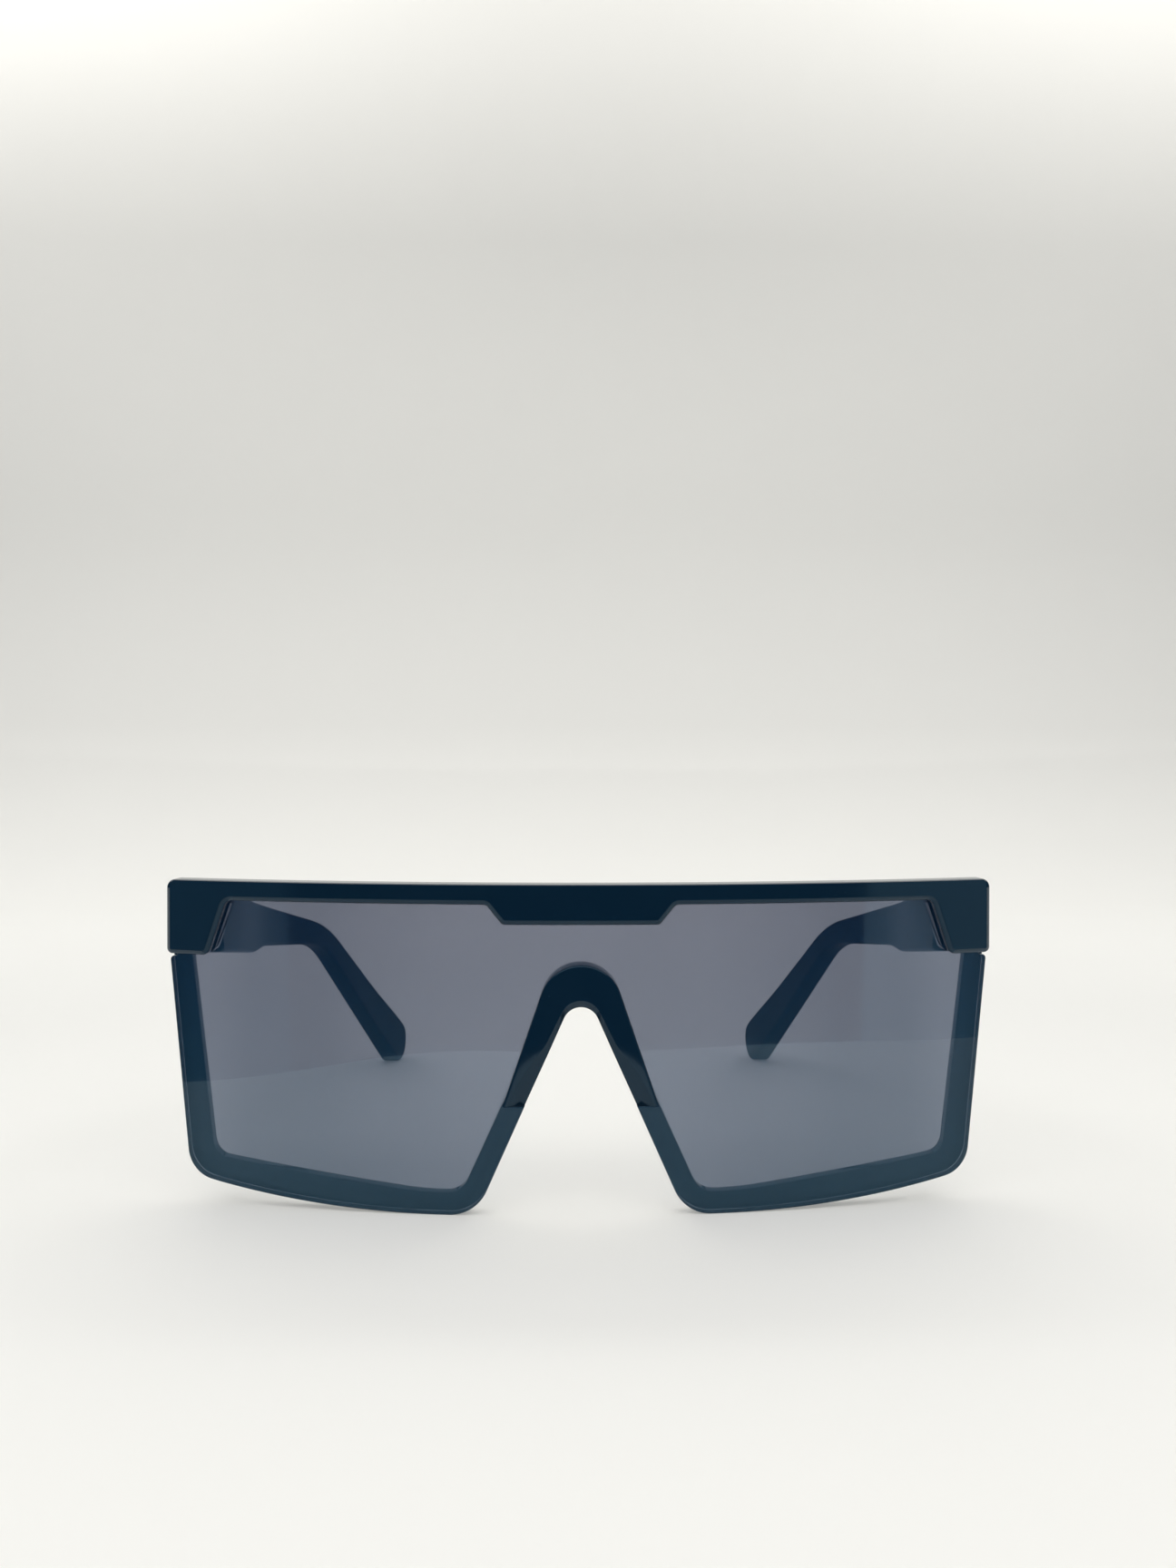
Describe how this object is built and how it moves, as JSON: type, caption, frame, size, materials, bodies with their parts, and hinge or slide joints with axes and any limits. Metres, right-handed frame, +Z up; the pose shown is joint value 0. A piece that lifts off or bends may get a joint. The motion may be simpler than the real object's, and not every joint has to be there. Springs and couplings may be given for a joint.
{
  "type": "flat top square sunglasses",
  "caption": "Flat top square shield sunglasses with one smoke lens, a black moulded front and two folding temples.",
  "frame": {"origin": "centre of the bounding box's footprint, on the surface that the rims and both temple tips rest on", "axes": "+X to the right as seen from in front of the lens, +Y from the lens back towards the temple tips, +Z up; the front leans 3 degrees forward at the top, as it does when the pair stands on a table"},
  "size_m": [0.1448, 0.1508, 0.0567],
  "materials": {
    "frame_plastic": "glossy black injection-moulded plastic",
    "temple_plastic": "satin black injection-moulded plastic",
    "lens_tint": "clear polished plastic with a neutral smoke tint",
    "hinge_metal": "plain nickel-coloured metal",
    "screw_metal": "plain steel"
  },
  "bodies": {
    "front": {"frame_front": "frame_plastic", "shield_lens": "lens_tint", "hinge_front_leaf_left": "hinge_metal", "hinge_front_leaf_right": "hinge_metal", "hinge_screw_left": "screw_metal", "hinge_screw_right": "screw_metal"},
    "left_arm": {"temple_left": "temple_plastic", "hinge_temple_leaf_left": "hinge_metal"},
    "right_arm": {"temple_right": "temple_plastic", "hinge_temple_leaf_right": "hinge_metal"}
  },
  "joints": [
    {"name": "left_temple_hinge", "type": "hinge", "parent": "front", "child": "left_arm", "pos_m": [-0.068, -0.05405, 0.04947], "axis": [0, 0.0531, -0.9986], "range_deg": [0, 83]},
    {"name": "right_temple_hinge", "type": "hinge", "parent": "front", "child": "right_arm", "pos_m": [0.068, -0.05405, 0.04947], "axis": [0, -0.0531, 0.9986], "range_deg": [0, 77]}
  ]
}
